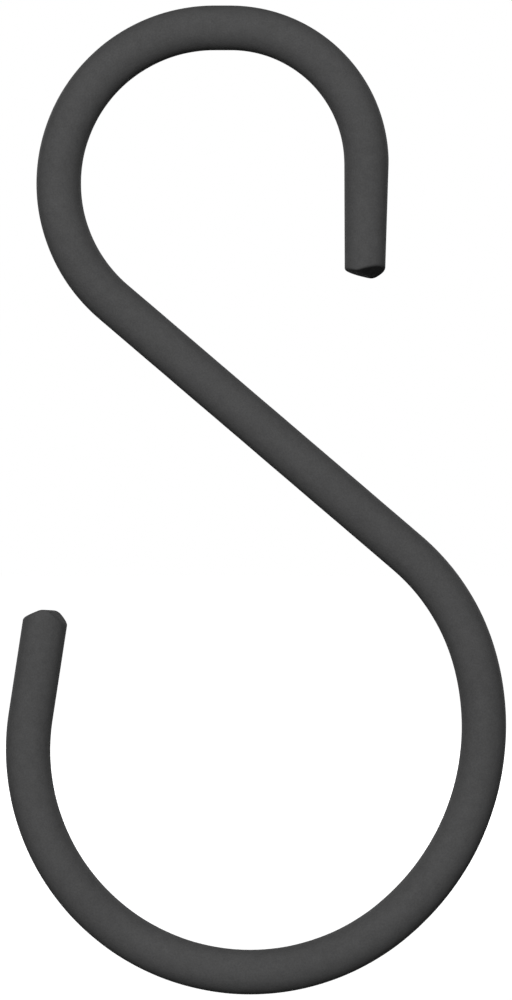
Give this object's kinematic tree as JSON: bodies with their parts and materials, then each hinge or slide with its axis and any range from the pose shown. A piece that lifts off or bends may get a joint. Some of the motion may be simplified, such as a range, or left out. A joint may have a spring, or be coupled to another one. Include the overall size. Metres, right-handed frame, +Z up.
{
  "type": "tree extension hook",
  "caption": "S-shaped hook bent from black coated round rod: the smaller upper bend goes over a branch and the wider lower bend holds a feeder, planter or lantern.",
  "frame": {"origin": "upper seat: the middle of the crown on the inside of the upper bend, in the middle of the rod's depth", "axes": "+Z up as the hook hangs, +X in the plane of the S towards the side of the upper mouth, +Y away from the viewer, square to the S"},
  "size_m": [0.0751, 0.0068, 0.1485],
  "materials": {
    "coat": "satin powder coat"
  },
  "bodies": {
    "root": {"s_hook": "coat"}
  },
  "joints": []
}
